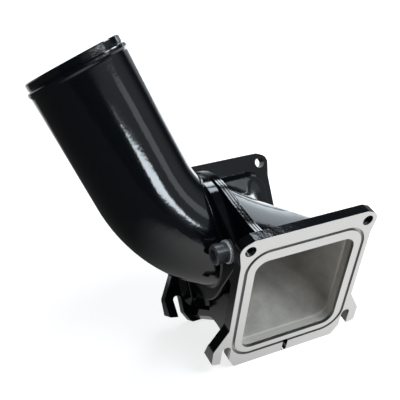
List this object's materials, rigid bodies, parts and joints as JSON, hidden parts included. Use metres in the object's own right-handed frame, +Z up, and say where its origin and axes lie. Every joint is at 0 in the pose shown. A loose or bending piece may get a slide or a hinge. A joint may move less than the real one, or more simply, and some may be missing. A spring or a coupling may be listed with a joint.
{
  "type": "intake bridge",
  "caption": "Cast intake bridge that joins a round, raked inlet elbow to two rectangular port flanges, one on each side of a V engine.",
  "frame": {"origin": "middle of the overall footprint, on the plane that the two port flanges stand on", "axes": "+X to the right-hand port flange, -Y to the front where the elbow is bolted on, +Z up"},
  "size_m": [0.1998, 0.2652, 0.3005],
  "materials": {
    "bridge_coat": "gloss black powder coat on cast aluminium, port faces machined bare",
    "elbow_coat": "gloss black powder coat on cast aluminium",
    "screw_steel": "black oxide, lightly oiled",
    "washer_zinc": "bright zinc plate",
    "seal_rubber": "black nitrile rubber"
  },
  "bodies": {
    "root": {"bridge": "bridge_coat", "elbow": "elbow_coat", "cap_screws": "screw_steel", "lock_washers": "washer_zinc", "inlet_seal": "seal_rubber"}
  },
  "joints": []
}
